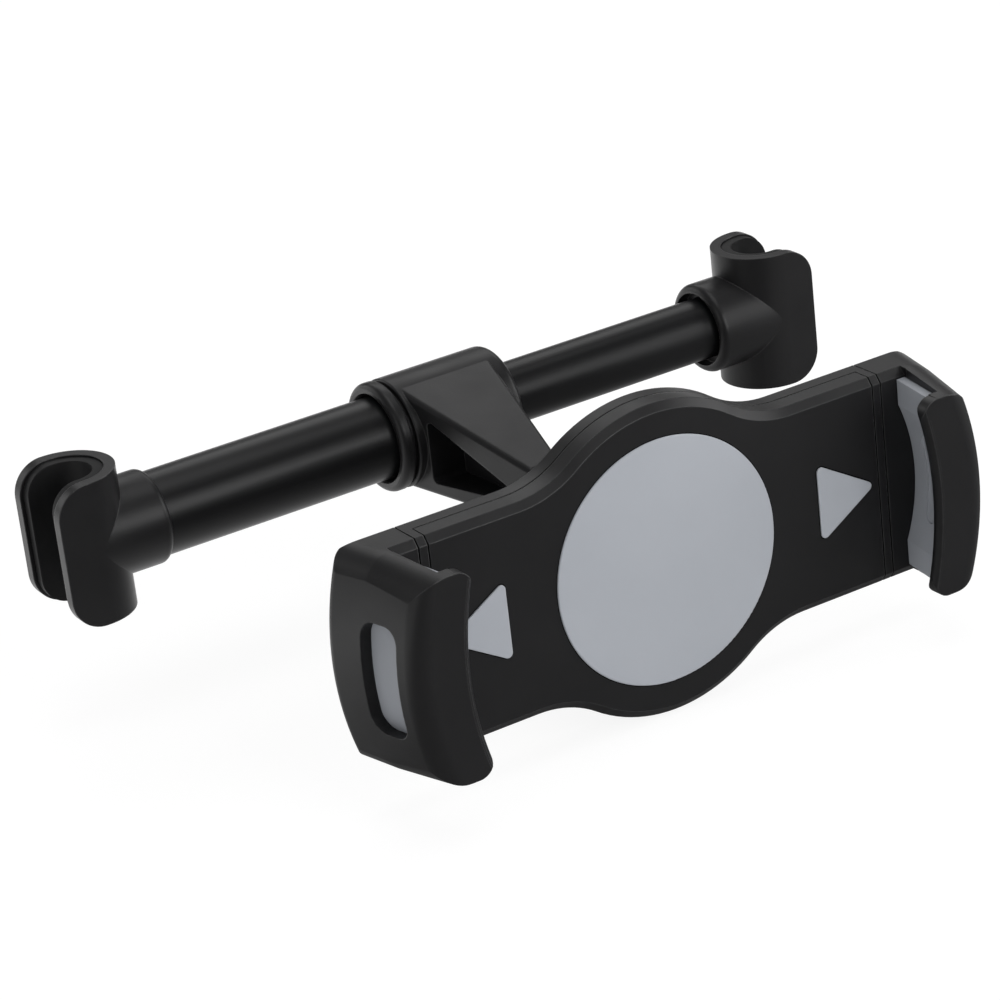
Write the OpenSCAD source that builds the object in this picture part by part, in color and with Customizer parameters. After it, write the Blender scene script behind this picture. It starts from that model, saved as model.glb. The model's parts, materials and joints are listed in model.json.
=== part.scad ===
/* [Headrest bar] */
// Distance between the two headrest posts with the bar pushed right out
post_spacing = 201; // [180:1:230]
// Diameter of the headrest post that the liners are moulded for
post_d = 13; // [10:0.5:15]
// Height of the hooks
hook_h = 36; // [28:0.2:42]
// Radial wall of the plastic hook
hook_wall = 2.8; // [2:0.1:3.4]
// Thickness of the rubber liner
liner_wall = 2.6; // [1.6:0.1:3.2]
// How far the hook's straight arms reach past the post axis
hook_arm = 8.5; // [5:0.5:12]
// Corner radius of the hook's arms
hook_corner_r = 8; // [3:0.5:10]
// Diameter of the collar that takes the tube
collar_d = 23.6; // [22.4:0.2:24.6]
// Length of the collar that shows beside the hook
collar_len = 8.5; // [6:0.5:14]
// Outer diameter of the fixed tube
left_tube_d = 21; // [20:0.5:21.5]
// Wall of the fixed tube
left_tube_wall = 1.5; // [1:0.1:1.6]
// Outer diameter of the sliding tube
right_tube_d = 16; // [14:0.5:16.5]
// Wall of the sliding tube
right_tube_wall = 1.2; // [0.8:0.1:1.4]
// How far the sliding tube can be pushed in
bar_travel = 60; // [30:1:61]

/* [Arm] */
// Diameter of the housing that joins the two tubes
barrel_d = 28; // [26.5:0.5:32]
// Length of the housing along the bar, with its end ring
barrel_len = 35.6; // [32:0.1:44]
// Width of the end ring
ring_w = 3.6; // [2.5:0.1:6]
// Gap between the end ring's rim and the housing
ring_gap = 0.8; // [0.4:0.1:1.5]
// Distance from the bar axis to the centre of the ball
arm_reach = 69; // [66:1:90]
// How far the ball lies below the bar axis
arm_drop = 7; // [4:0.5:8]
// Length of the tapered arm from the bar axis to its tip
arm_len = 50; // [46:1:52]
// Width of the arm's tip
arm_tip_w = 9.4; // [8.5:0.1:12]
// Height of the arm's tip
arm_tip_h = 15.4; // [13.5:0.2:18]
// Radius of the arm's long edges
arm_edge_r = 1.4; // [0.8:0.1:3]
// Thickness of the web between the two side pockets
arm_web = 3; // [2:0.1:4]

/* [Ball joint] */
// Diameter of the ball
ball_d = 17; // [15:0.5:18]
// Diameter of the stem behind the ball
stem_d = 8; // [6:0.2:8.4]
// Wall of the friction cup and ring round the ball
cup_wall = 2.45; // [1.8:0.05:2.6]
// Half angle that the cups leave open round the stem
ball_open_angle = 60; // [56:1:62]
// Distance from the holder's back to the centre of the ball
ball_depth = 19.3; // [18:0.1:28]
// Outer diameter of the threaded socket
socket_d = 27; // [26.6:0.2:29]
// Outer diameter of the clamp nut
nut_d = 34; // [32:0.5:38]
// Number of grip flutes on the clamp nut
nut_flutes = 14; // [8:1:18]

/* [Holder] */
// Length of the front cover between its end seams
plate_len = 121.8; // [118:0.2:134]
// Height of the straight ends of the holder
plate_h = 52.4; // [50:0.2:60]
// Depth of the holder from front to back
plate_t = 10.7; // [10.7:0.1:12.5]
// Depth of the front cover, down to the parting line
front_t = 6.2; // [5.8:0.1:6.6]
// Diameter of the round lobe behind the round pad
lobe_d = 76.4; // [70:0.2:84]
// Radius of the hollow curve between lobe and straight edge
blend_r = 26; // [15:1:34]
// Wall of the covers
cover_wall = 2; // [1.6:0.1:2.2]
// Height that the front edge bevel takes off the front face
bevel_h = 1.9; // [1:0.1:3]
// Depth of the front edge bevel
bevel_y = 1.5; // [0.8:0.1:2.5]
// Width of the strip that closes each end of the housing
end_strip = 2.1; // [1.6:0.1:3]
// Open width of the seams
seam = 0.35; // [0.1:0.05:0.4]

/* [Grip pads] */
// Diameter of the round pad
pad_d = 60; // [50:0.5:66]
// Depth of the pads' seats in the front face
pad_seat = 1; // [0.6:0.1:1.2]
// How far the pads stand proud of the front face
pad_proud = 0.35; // [0.1:0.05:0.8]
// Distance of the triangle's upright side from the middle
tri_x = 43.3; // [40:0.1:45]
// Length of the triangle from upright side to tip
tri_len = 15.3; // [10:0.1:15.5]
// Height of the triangle's upright side
tri_h = 17.9; // [10:0.1:22]
// Corner radius of the triangle
tri_r = 1.2; // [0.5:0.1:2]

/* [Jaws] */
// How far each jaw pulls out
jaw_travel = 40; // [20:1:41]
// Distance from the middle to a closed jaw's outer side, level with the front face
jaw_out = 82; // [80:0.2:86]
// Radius of the jaw's bowed outer side
jaw_bow_r = 74; // [66:0.1:120]
// Angle by which the outer side leans in toward the lip
wall_lean = 12; // [0:0.5:18]
// Wall of the jaw's outer side
jaw_wall = 2.8; // [2:0.1:3.4]
// How far the lip stands in front of the front face
lip_reach = 18.5; // [14:0.1:24]
// Thickness of the lip
lip_t = 3.2; // [2.4:0.1:4]
// Distance from the middle to the lip's edge on a closed jaw
lip_edge = 64.2; // [62:0.1:70]
// Height of the lip
lip_h = 49.8; // [44:0.2:53]
// Distance from the middle to the soft pad's ends on a closed jaw
pad_end = 68.3; // [66:0.1:72]
// Depth of the hollow in the soft pad
pad_hollow = 3.5; // [2:0.1:5]
// Height of the slot in the jaw's outer side
slot_h = 27; // [16:0.5:32]
// Corner radius of the jaw where lip and side meet
jaw_front_r = 5; // [3:0.1:6]
// Corner radius of the jaw's outer back edge
jaw_back_r = 2.5; // [1:0.1:3.5]
// Corner radius of the jaw seen from the front
jaw_corner_r = 8; // [2:0.1:10]
// Corner radius of the lip's free edge
lip_corner_r = 4; // [2:0.1:6]

/* [Drive] */
// Module of the rack teeth
gear_module = 1; // [0.9:0.05:1.05]
// Teeth of the pinion
pinion_teeth = 14; // [13:1:14]
// Thickness of sliders and pinion
slider_t = 4; // [3:0.1:4.2]
// Height of the slider where it leaves the housing
slider_h = 33; // [31:0.5:33.5]
// Radius of the boss that carries the pinion
pinion_boss_r = 2.5; // [1.8:0.1:3]

/* [Hidden] */
$fn = 64;

plastic_color = [0.13, 0.13, 0.14];
tube_color = [0.09, 0.09, 0.1];
rubber_color = [0.07, 0.07, 0.07];
silicone_color = [0.6, 0.61, 0.63];
nylon_color = [0.85, 0.85, 0.8];
steel_color = [0.6, 0.6, 0.62];

// Clearances: parts that are fixed together, that run together, and loose moving parts
seat_clear = 0.05;
run_clear = 0.05;
loose_clear = 0.3;
cut = 1;

// Headrest bar
post_x = post_spacing / 2;
post_r = post_d / 2;
liner_r = post_r + liner_wall;
hook_in_r = liner_r + seat_clear;
hook_r = hook_in_r + hook_wall;
hook_end_x = post_x + hook_arm;
collar_x = post_x - hook_r - collar_len;
socket_floor = 1.8;
socket_x = post_x - hook_in_r - socket_floor;
left_tube_r = left_tube_d / 2;
left_bore_r = left_tube_r - left_tube_wall;
right_tube_r = right_tube_d / 2;
right_bore_r = right_tube_r - right_tube_wall;
liner_inset = 1;
collar_edge_r = 2;
collar_mouth_r = right_tube_r + 1.7;
collar_mouth_len = 3;

// Housing on the bar
barrel_r = barrel_d / 2;
barrel_x = barrel_len / 2;
housing_x = -barrel_x + ring_w + ring_gap;
barrel_edge_r = 2.2;
mouth_lip = 1.5;
mouth_r = right_tube_r + 0.6;
bush_len = 9.5;
bush_x = barrel_x - mouth_lip - bush_len;
guide_len = 12;
guide_end_x = bush_x - loose_clear;
right_tube_x = guide_end_x - guide_len;
bar_screw_r = 1.3;
screw_head_r = 2.5;
screw_head_t = 1.4;
hook_screw_x = (collar_x + collar_mouth_len + socket_x) / 2;
housing_screw_at = [housing_x + 5, bush_x - 5];
seat_len = 8;
seat_hole = 2.4;
seat_spigot_r = 4.4;
seat_spigot_len = 4;
bar_spring_turns = 22;
bar_spring_wire_r = 0.55;
bar_spring_r = right_bore_r - 0.6 - bar_spring_wire_r;
bar_spring_x = socket_x - seat_len;

// Arm
arm_sink = 0.15;
arm_slope = 13;
arm_back_r = barrel_r - arm_edge_r - arm_sink;
arm_back_y = -arm_back_r * sin(arm_slope);
arm_back_x = 0.8;
arm_back_w = 2 * (arm_back_x - housing_x) - 0.4;
arm_bottom = -(barrel_r - 1);
arm_top_back = arm_back_r * cos(arm_slope) + arm_edge_r;
arm_top_tip = arm_bottom + arm_tip_h;
pocket_back_y = -(barrel_r + 0.6);
pocket_tip_y = -(arm_len - 3.5);
pocket_r = 1.4;
pocket_floor = arm_bottom + 3.4;
pocket_roof = arm_top_back - 7;
neck_len = 5;
neck_r = min(arm_tip_w / 2 + 0.2, 5);

// Ball joint, in the holder's own place
ball_r = ball_d / 2;
stem_r = stem_d / 2;
cup_in_r = ball_r + run_clear;
cup_out_r = cup_in_r + cup_wall;
socket_in_r = cup_out_r + run_clear;
socket_r = socket_d / 2;
ball_y = plate_t + ball_depth;
holder_reach = arm_reach + ball_y;
seat_angle = 55;
ring_front = 2;
nut_seam = 0.7;
nut_front_gap = 2.3;
nut_r = nut_d / 2;
nut_opening = ball_open_angle - 6;
nut_end_y = ball_y + socket_in_r * cos(nut_opening) + 0.8;
nut_front_y = plate_t + nut_front_gap;
nut_nose_r = nut_r - 4;

// Holder
plate_x = plate_len / 2;
plate_z = plate_h / 2;
lobe_r = lobe_d / 2;
strip_in_x = plate_x + seam;
strip_out_x = strip_in_x + end_strip;
jaw_in_x = strip_out_x + seam;
blend_z = plate_z + blend_r;
blend_x = sqrt(pow(lobe_r + blend_r, 2) - pow(blend_z, 2));
back_bevel = 0.8;
parting_v = 0.3;
parting_w = 0.22;
front_inner_y = cover_wall + 0.2;
back_inner_y = plate_t - cover_wall;

// Drive inside the holder
slider_y = (front_inner_y + back_inner_y - slider_t) / 2;
slider_z = slider_h / 2;
slot_clear = loose_clear;
pitch_r = gear_module * pinion_teeth / 2;
base_r = pitch_r * cos(20);
tooth_pitch = PI * gear_module;
addendum = 0.8 * gear_module;
dedendum = 1.1 * gear_module;
backlash = 0.06;
pressure = 20;
rack_back = pitch_r + dedendum + 3.6;
rack_end_x = jaw_travel + 4;
plate_end_x = rack_end_x + 2.5;
rack_teeth = ceil((jaw_travel + 6) / tooth_pitch);
guide_rib_z = slider_z - 2;
guide_rib_w = 1.4;
prong_z = slider_z - 3.5;
lug_x = 14;
lug_w = 3;
spring_z = slider_z + 4;
lug_top = spring_z + 2;
spring_coil_r = 1.75;
spring_wire_r = 0.25;
spigot_r = 1.2;
spigot_len = 2.5;
anchor_x = lug_x + jaw_travel / 2 + 12;
slider_in_jaw = 10.6;
slider_tip_x = jaw_in_x + slider_in_jaw;
jaw_screw_x = jaw_in_x + 6;
jaw_screw_z = 9;
pinion_screw_r = 1.1;
washer_r = 4;
washer_t = 0.6;

// Cover screws: two by the ends, four in the lobe
cover_screw_r = 1.2;
boss_r = 2.8;
lobe_screw_r = lobe_r - cover_wall - boss_r - loose_clear;
lobe_screw_x = lobe_screw_r * cos(65);
lobe_screw_z = max(lobe_screw_r * sin(65), spring_z + spring_coil_r + spring_wire_r + boss_r + loose_clear);
cover_screw_at = [
    [-(plate_x - 6.9), plate_z - 5.8], [plate_x - 6.9, -(plate_z - 5.8)],
    for (sx = [-1, 1], sz = [-1, 1]) [sx * lobe_screw_x, sz * lobe_screw_z]
];

// Jaws
bow_x = jaw_out - jaw_bow_r;
lean = tan(wall_lean);
wall_in_r = jaw_bow_r - jaw_wall / cos(wall_lean);
lip_back_y = -(lip_reach - lip_t);
lip_z = lip_h / 2;
lip_slope = atan((plate_z - lip_z) / lip_reach);
lip_edge_r = 81;
lip_x = lip_edge - lip_edge_r;
lip_round_r = lip_t / 2 - 0.05;
pad_lean = 9;
pad_face_r = 45;
pad_face_x = pad_hollow - pad_face_r;
cap_t = 2.4;
cap_x = pad_end + 2.3;
jaw_pad_z = plate_z - cap_t - seat_clear;
pad_mark_h = 22;
pad_mark_w = 5;
pad_mark_t = 0.5;
slot_w = 11.2;
slot_y = -1 - slot_w / 2;
slot_r = 4;
front_corner_x = jaw_bow_r - (lip_reach - jaw_front_r) * lean - jaw_front_r / cos(wall_lean);
back_corner_x = jaw_bow_r + (plate_t - jaw_back_r) * lean - jaw_back_r / cos(wall_lean);
corner_z = plate_z - jaw_corner_r;
corner_x = bow_x + sqrt(pow(jaw_bow_r - jaw_corner_r, 2) - pow(corner_z, 2));
lip_corner_z = lip_z - lip_corner_r;
lip_corner_x = lip_x + sqrt(pow(lip_edge_r + lip_corner_r, 2) - pow(lip_corner_z, 2));

// Places and directions
module along_x(x) { translate([x, 0, 0]) rotate([0, 90, 0]) children(); }
module along_y(y) { translate([0, y, 0]) rotate([-90, 0, 0]) children(); }
module upright_x(x) { translate([x, 0, 0]) rotate([90, 0, 90]) children(); }
module at_holder() { translate([0, -holder_reach, -arm_drop]) children(); }
module other_side() { mirror([1, 0, 0]) children(); }
module turned_half() { rotate([0, 180, 0]) children(); }

// A turned cylinder with rounded rims
module turned(r, h, foot_r, head_r) {
    rotate_extrude() difference() {
        square([r, h]);
        if (foot_r > 0) translate([r - foot_r, foot_r]) difference() {
            translate([0, -foot_r - cut]) square([foot_r + cut, foot_r + cut]);
            circle(r = foot_r);
        }
        if (head_r > 0) translate([r - head_r, h - head_r]) difference() {
            square([head_r + cut, head_r + cut]);
            circle(r = head_r);
        }
    }
}

module rounded_rect(w, h, r) {
    square([w - 2 * r, h], center = true);
    square([w, h - 2 * r], center = true);
    for (sx = [-1, 1], sy = [-1, 1])
        translate([sx * (w / 2 - r), sy * (h / 2 - r)]) circle(r = r);
}

// A countersunk cross-head screw along +Z with its head at z = 0
module screw(shank_r, length, head_r = screw_head_r, head_t = screw_head_t) {
    difference() {
        union() {
            translate([0, 0, -length]) cylinder(r = shank_r, h = length);
            translate([0, 0, -head_t]) cylinder(r = head_r, h = head_t);
        }
        for (a = [0, 90]) rotate([0, 0, a])
            translate([-head_r * 0.55, -0.3, -head_t * 0.6])
                cube([head_r * 1.1, 0.6, head_t]);
    }
}

// A coil of round wire along +Z, closed at both ends
function coil_ring(i, turns, steps, sides, coil_r, wire_r, length) =
    let (a = 360 * i / steps, z = wire_r + (length - 2 * wire_r) * i / (turns * steps))
    [for (k = [0:sides - 1]) let (b = 360 * k / sides, r = coil_r + wire_r * cos(b))
        [r * cos(a), r * sin(a), z + wire_r * sin(b)]];

module coil_spring(coil_r, wire_r, length, turns, steps, sides) {
    n = turns * steps;
    points = [for (i = [0:n]) each coil_ring(i, turns, steps, sides, coil_r, wire_r, length)];
    walls = [for (i = [0:n - 1], k = [0:sides - 1]) let (m = (k + 1) % sides)
        [i * sides + k, i * sides + m, (i + 1) * sides + m, (i + 1) * sides + k]];
    ends = [[for (k = [sides - 1:-1:0]) k], [for (k = [0:sides - 1]) n * sides + k]];
    polyhedron(points, concat(walls, ends), convexity = 6);
}

// Hooks: a U-shaped channel for the post with a collar for the tube
module channel_plan(r_out, r_in, end_x) {
    difference() {
        union() {
            circle(r = r_out);
            translate([0, -r_out]) square([end_x, 2 * r_out]);
        }
        circle(r = r_in);
        translate([0, -r_in]) square([end_x + cut, 2 * r_in]);
    }
}

module arm_outline(end_x, half_h, corner_r) {
    difference() {
        translate([-2 * hook_r, -half_h]) square([2 * hook_r + end_x, 2 * half_h]);
        for (s = [-1, 1]) translate([end_x - corner_r, s * (half_h - corner_r)]) difference() {
            translate([0, s > 0 ? 0 : -corner_r - cut]) square([corner_r + cut, corner_r + cut]);
            circle(r = corner_r);
        }
    }
}

module channel(r_out, r_in, end_x, half_h, corner_r) {
    translate([post_x, 0, 0]) intersection() {
        translate([0, 0, -half_h]) linear_extrude(2 * half_h) channel_plan(r_out, r_in, end_x);
        rotate([90, 0, 0]) translate([0, 0, -2 * hook_r]) linear_extrude(4 * hook_r)
            arm_outline(end_x, half_h, corner_r);
    }
}

module hook(tube_r, mouth_r) {
    difference() {
        union() {
            channel(hook_r, hook_in_r, hook_arm, hook_h / 2, hook_corner_r);
            along_x(collar_x) turned(collar_d / 2, post_x - collar_x, collar_edge_r, 0);
        }
        translate([post_x, 0, -hook_h]) cylinder(r = hook_in_r, h = 2 * hook_h);
        along_x(collar_x - cut)
            cylinder(r = tube_r + seat_clear, h = socket_x - collar_x + cut);
        if (mouth_r > 0) along_x(collar_x - cut)
            cylinder(r = mouth_r, h = collar_mouth_len + cut);
        hook_screw_hole();
    }
}

module hook_liner() {
    color(rubber_color)
        channel(liner_r, post_r, hook_arm - liner_inset, hook_h / 2 - liner_inset / 2,
            hook_corner_r - liner_inset);
}

module hook_screw_hole() {
    translate([hook_screw_x, 0, 0]) along_y(0)
        cylinder(r = bar_screw_r + seat_clear, h = collar_d);
}

// A headless screw with a hexagon socket, from the back of the collar into the spring seat
module hook_screw(bore_r) {
    translate([hook_screw_x, 0, 0]) difference() {
        along_y(bore_r - seat_hole + 0.2)
            cylinder(r = bar_screw_r, h = collar_d / 2 - 0.5 - bore_r + seat_hole - 0.2);
        along_y(collar_d / 2 - 2) cylinder(r = 0.8, h = 4, $fn = 6);
    }
}

module left_hook() { color(plastic_color) other_side() hook(left_tube_r, 0); }
module right_hook() { color(plastic_color) hook(right_tube_r, collar_mouth_r); }
module left_hook_liner() { other_side() hook_liner(); }
module right_hook_liner() { hook_liner(); }

// Tubes, with their screw holes
module left_tube() {
    color(tube_color) difference() {
        along_x(-socket_x) cylinder(r = left_tube_r, h = socket_x + bush_x);
        along_x(-socket_x - cut) cylinder(r = left_bore_r, h = socket_x + bush_x + 2 * cut);
        translate([-hook_screw_x, 0, 0]) rotate([-90, 0, 0])
            cylinder(r = bar_screw_r + seat_clear, h = 2 * left_tube_r);
        for (x = housing_screw_at) translate([x, 0, 0]) rotate([-90, 0, 0])
            cylinder(r = bar_screw_r + seat_clear, h = 2 * left_tube_r);
    }
}

module right_tube() {
    color(tube_color) difference() {
        along_x(right_tube_x) cylinder(r = right_tube_r, h = socket_x - right_tube_x);
        along_x(right_tube_x - cut)
            cylinder(r = right_bore_r, h = socket_x - right_tube_x + 2 * cut);
        translate([hook_screw_x, 0, 0]) rotate([-90, 0, 0])
            cylinder(r = bar_screw_r + seat_clear, h = 2 * right_tube_r);
    }
}

module seat_screw_hole(bore_r) {
    translate([hook_screw_x, 0, 0]) along_y(bore_r - seat_hole)
        cylinder(r = bar_screw_r + seat_clear, h = seat_hole + cut);
}

module seat_plug(bore_r) {
    difference() {
        union() {
            along_x(socket_x - seat_len) cylinder(r = bore_r - seat_clear, h = seat_len);
            along_x(socket_x - seat_len - seat_spigot_len)
                cylinder(r = seat_spigot_r, h = seat_spigot_len + cut);
        }
        seat_screw_hole(bore_r);
    }
}

module left_spring_seat() { color(nylon_color) other_side() seat_plug(left_bore_r); }
module right_spring_seat() { color(nylon_color) seat_plug(right_bore_r); }

module bar_spring() {
    color(steel_color) along_x(-bar_spring_x)
        coil_spring(bar_spring_r, bar_spring_wire_r, 2 * bar_spring_x, bar_spring_turns, 10, 6);
}

module tube_bush() {
    color(nylon_color) along_x(bush_x) difference() {
        cylinder(r = left_tube_r, h = bush_len);
        translate([0, 0, -cut]) cylinder(r = right_tube_r + run_clear, h = bush_len + 2 * cut);
    }
}

module guide_bush() {
    color(nylon_color) along_x(right_tube_x) difference() {
        cylinder(r = left_bore_r - run_clear, h = guide_len);
        translate([0, 0, -cut]) cylinder(r = right_tube_r + seat_clear / 2, h = guide_len + 2 * cut);
    }
}

// Housing: barrel on the tubes and a tapered arm that ends in the ball
module pocket_outline() {
    hull() {
        translate([pocket_back_y - pocket_r, pocket_floor + pocket_r]) circle(r = pocket_r, $fn = 24);
        translate([pocket_back_y - pocket_r, pocket_roof - pocket_r]) circle(r = pocket_r, $fn = 24);
        translate([pocket_tip_y, -arm_drop]) circle(r = 0.8, $fn = 24);
    }
}

module arm_wedge() {
    hull() {
        for (s = [-1, 1]) {
            for (z = [arm_bottom + arm_edge_r, arm_top_back - arm_edge_r])
                translate([arm_back_x + s * (arm_back_w / 2 - arm_edge_r), arm_back_y, z])
                    sphere(r = arm_edge_r, $fn = 24);
            for (z = [arm_bottom + arm_edge_r, arm_top_tip - arm_edge_r])
                translate([s * (arm_tip_w / 2 - arm_edge_r), -(arm_len - arm_edge_r), z])
                    sphere(r = arm_edge_r, $fn = 24);
        }
    }
}

module arm_housing() {
    color(plastic_color) difference() {
        union() {
            along_x(housing_x) turned(barrel_r, barrel_x - housing_x, 0.6, barrel_edge_r);
            arm_wedge();
            translate([0, -arm_reach, -arm_drop]) {
                sphere(r = ball_r);
                along_y(0) cylinder(r = stem_r, h = arm_reach - arm_len + 2);
                along_y(arm_reach - arm_len - neck_len + 1)
                    cylinder(r1 = stem_r, r2 = neck_r, h = neck_len);
            }
        }
        along_x(housing_x - cut)
            cylinder(r = left_tube_r + seat_clear, h = bush_x + bush_len - housing_x + cut);
        along_x(bush_x) cylinder(r = mouth_r, h = barrel_x);
        for (s = [-1, 1]) upright_x(s > 0 ? arm_web / 2 : -barrel_x - arm_web / 2)
            linear_extrude(barrel_x) pocket_outline();
        for (x = housing_screw_at) translate([x, barrel_r, 0]) rotate([-90, 0, 0]) {
            translate([0, 0, -screw_head_t - 0.6]) cylinder(r = screw_head_r + seat_clear, h = 4);
            translate([0, 0, -barrel_r]) cylinder(r = bar_screw_r + seat_clear, h = barrel_r);
        }
    }
}

module housing_ring() {
    color(plastic_color) difference() {
        union() {
            along_x(-barrel_x) turned(barrel_r, ring_w, 1.6, 0.8);
            along_x(-barrel_x) cylinder(r = barrel_r - 1.3, h = ring_w + ring_gap);
        }
        along_x(-barrel_x - cut) cylinder(r = left_tube_r + seat_clear, h = barrel_len);
        along_x(-barrel_x - cut) cylinder(r1 = left_tube_r + 1.8, r2 = left_tube_r, h = 1.8 + cut);
    }
}

module housing_screws() {
    color(steel_color) for (x = housing_screw_at)
        translate([x, barrel_r - 0.6, 0]) rotate([-90, 0, 0])
            screw(bar_screw_r, barrel_r - 0.6 - left_bore_r - 0.25);
}

module left_hook_screw() { color(steel_color) other_side() hook_screw(left_bore_r); }
module right_hook_screw() { color(steel_color) hook_screw(right_bore_r); }

// Ball joint: a friction cup in front of the ball, a ring behind it and the clamp nut
module open_cone(half_angle, reach) {
    polygon([[0, 0], [reach * tan(half_angle), reach], [0, reach]]);
}

module cup_half(y0, y1) {
    difference() {
        intersection() {
            circle(r = cup_out_r);
            translate([0, y0]) square([2 * cup_out_r, y1 - y0]);
        }
        circle(r = cup_in_r);
    }
}

module ball_seat() {
    color(nylon_color) at_holder() along_y(ball_y) rotate_extrude()
        cup_half(-2 * cup_out_r, -cup_out_r * cos(seat_angle));
}

module ball_ring() {
    color(nylon_color) at_holder() along_y(ball_y) rotate_extrude() difference() {
        cup_half(-ring_front, 2 * cup_out_r);
        open_cone(ball_open_angle, 2 * cup_out_r);
    }
}

module nut_section() {
    difference() {
        polygon([
            [0, nut_front_y], [nut_r - 1, nut_front_y], [nut_r, nut_front_y + 1],
            [nut_r, ball_y + 2], [nut_nose_r, nut_end_y], [0, nut_end_y]
        ]);
        square([socket_r + run_clear, ball_y - nut_seam]);
        square([socket_in_r, ball_y]);
        translate([0, ball_y]) circle(r = socket_in_r);
        translate([0, ball_y]) open_cone(nut_opening, 2 * nut_r);
    }
}

module clamp_nut() {
    color(plastic_color) at_holder() difference() {
        along_y(0) rotate_extrude() nut_section();
        for (i = [0:nut_flutes - 1]) rotate([0, 360 * i / nut_flutes, 0])
            translate([nut_r + 1.3, 0, 0]) along_y(nut_front_y + 2) cylinder(r = 2.2, h = 2 * nut_r);
    }
}

// Holder: front and back cover share one outline
module sector(a0, a1, reach) {
    polygon([[0, 0], polar(reach, a0), polar(1.5 * reach, (a0 + a1) / 2), polar(reach, a1)]);
}

module straight_bevel(h, d, x0, x1) {
    for (s = [0, 1]) mirror([0, 0, s]) upright_x(x0) linear_extrude(x1 - x0)
        polygon([[-cut, plate_z - h - h * cut / d], [d, plate_z], [d, plate_z + cut], [-cut, plate_z + cut]]);
}

// Bevel tool that follows the outline along its straights, hollow curves and lobe
module outline_bevel(h, d, end_x) {
    flare = h + h * cut / d;
    turn = atan(blend_z / blend_x);
    straight_bevel(h, d, blend_x, end_x + cut);
    mirror([1, 0, 0]) straight_bevel(h, d, blend_x, end_x + cut);
    for (sx = [0, 1], sz = [0, 1]) mirror([sx, 0, 0]) mirror([0, 0, sz])
        translate([blend_x, 0, -blend_z]) intersection() {
            along_y(0) rotate_extrude() polygon([[0, -cut], [blend_r + flare, -cut], [blend_r, d], [0, d]]);
            along_y(-2 * cut) linear_extrude(d + 4 * cut) sector(180 + turn, 270, 3 * blend_r);
        }
    for (sz = [0, 1]) mirror([0, 0, sz]) intersection() {
        along_y(0) rotate_extrude()
            polygon([[lobe_r - flare, -cut], [lobe_r + 2, -cut], [lobe_r + 2, d], [lobe_r, d]]);
        along_y(-2 * cut) linear_extrude(d + 4 * cut) sector(turn, 180 - turn, 2 * lobe_r);
    }
}

module plate_outline(inset, end_x) {
    tip = (lobe_r - inset) / (lobe_r + blend_r);
    square([2 * end_x, plate_h - 2 * inset], center = true);
    circle(r = lobe_r - inset);
    for (sx = [0, 1], sz = [0, 1]) mirror([sx, 0]) mirror([0, sz]) difference() {
        polygon([[0, 0], [blend_x, 0], [blend_x, plate_z - inset], [blend_x * tip, blend_z * tip]]);
        translate([blend_x, blend_z]) circle(r = blend_r + inset);
    }
}

module front_blank() {
    difference() {
        union() {
            along_y(0) linear_extrude(front_t - parting_w) plate_outline(0, plate_x);
            along_y(front_t - parting_w - cut) linear_extrude(parting_w + cut) plate_outline(parting_v, plate_x);
        }
        outline_bevel(bevel_h, bevel_y, plate_x);
    }
}

module back_blank() {
    difference() {
        union() {
            along_y(front_t + parting_w) linear_extrude(plate_t - front_t - parting_w) plate_outline(0, strip_out_x);
            along_y(front_t) linear_extrude(parting_w + cut) plate_outline(parting_v, strip_out_x);
        }
        translate([0, plate_t, 0]) mirror([0, 1, 0]) outline_bevel(back_bevel, back_bevel, strip_out_x);
    }
}

module strip_section() {
    polygon([
        [0, bevel_h - plate_z], [0, plate_z - bevel_h], [bevel_y, plate_z], [plate_t - back_bevel, plate_z],
        [plate_t, plate_z - back_bevel], [plate_t, back_bevel - plate_z], [plate_t - back_bevel, -plate_z],
        [bevel_y, -plate_z]
    ]);
}

module triangle(grow) {
    hull() {
        for (s = [-1, 1]) translate([tri_x + tri_r, s * (tri_h / 2 - tri_r)])
            circle(r = tri_r + grow, $fn = 24);
        translate([tri_x + tri_len - tri_r, 0]) circle(r = tri_r + grow, $fn = 24);
    }
}

module at_cover_screws() {
    for (p = cover_screw_at) translate([p[0], 0, p[1]]) children();
}

module guide_ribs(y, t) {
    for (sx = [-1, 1], sz = [-1, 1])
        translate([sx > 0 ? plate_end_x : -plate_x + 1, y, sz * guide_rib_z - guide_rib_w / 2])
            cube([plate_x - 1 - plate_end_x, t, guide_rib_w]);
}

module front_cover() {
    color(plastic_color) at_holder() difference() {
        union() {
            difference() {
                front_blank();
                along_y(front_inner_y) linear_extrude(plate_t)
                    plate_outline(cover_wall + 0.2, plate_x - cover_wall);
            }
            at_cover_screws() along_y(front_inner_y - cut) cylinder(r = boss_r, h = front_t - front_inner_y + cut);
            guide_ribs(front_inner_y - cut, slider_y - loose_clear - front_inner_y + cut);
        }
        at_cover_screws() along_y(front_inner_y + 0.3) cylinder(r = cover_screw_r + seat_clear / 2, h = plate_t);
        along_y(-cut) cylinder(r = pad_d / 2 + seat_clear, h = pad_seat + cut);
        for (s = [0, 1]) mirror([s, 0, 0]) along_y(-cut) linear_extrude(pad_seat + cut) triangle(seat_clear);
        for (s = [-1, 1])
            translate([s > 0 ? plate_x - cover_wall - cut : -plate_x - cut, slider_y - slot_clear, -slider_z - slot_clear])
                cube([cover_wall + 2 * cut, plate_t, slider_h + 2 * slot_clear]);
    }
}

module spring_anchor() {
    translate([-anchor_x - lug_w, back_inner_y - slider_t - 1.4, spring_z - 2])
        cube([lug_w, slider_t + 1.4 + cut, 4]);
    translate([0, slider_y + slider_t / 2, spring_z]) along_x(-anchor_x - cut)
        cylinder(r = spigot_r, h = spigot_len + cut);
}

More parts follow.
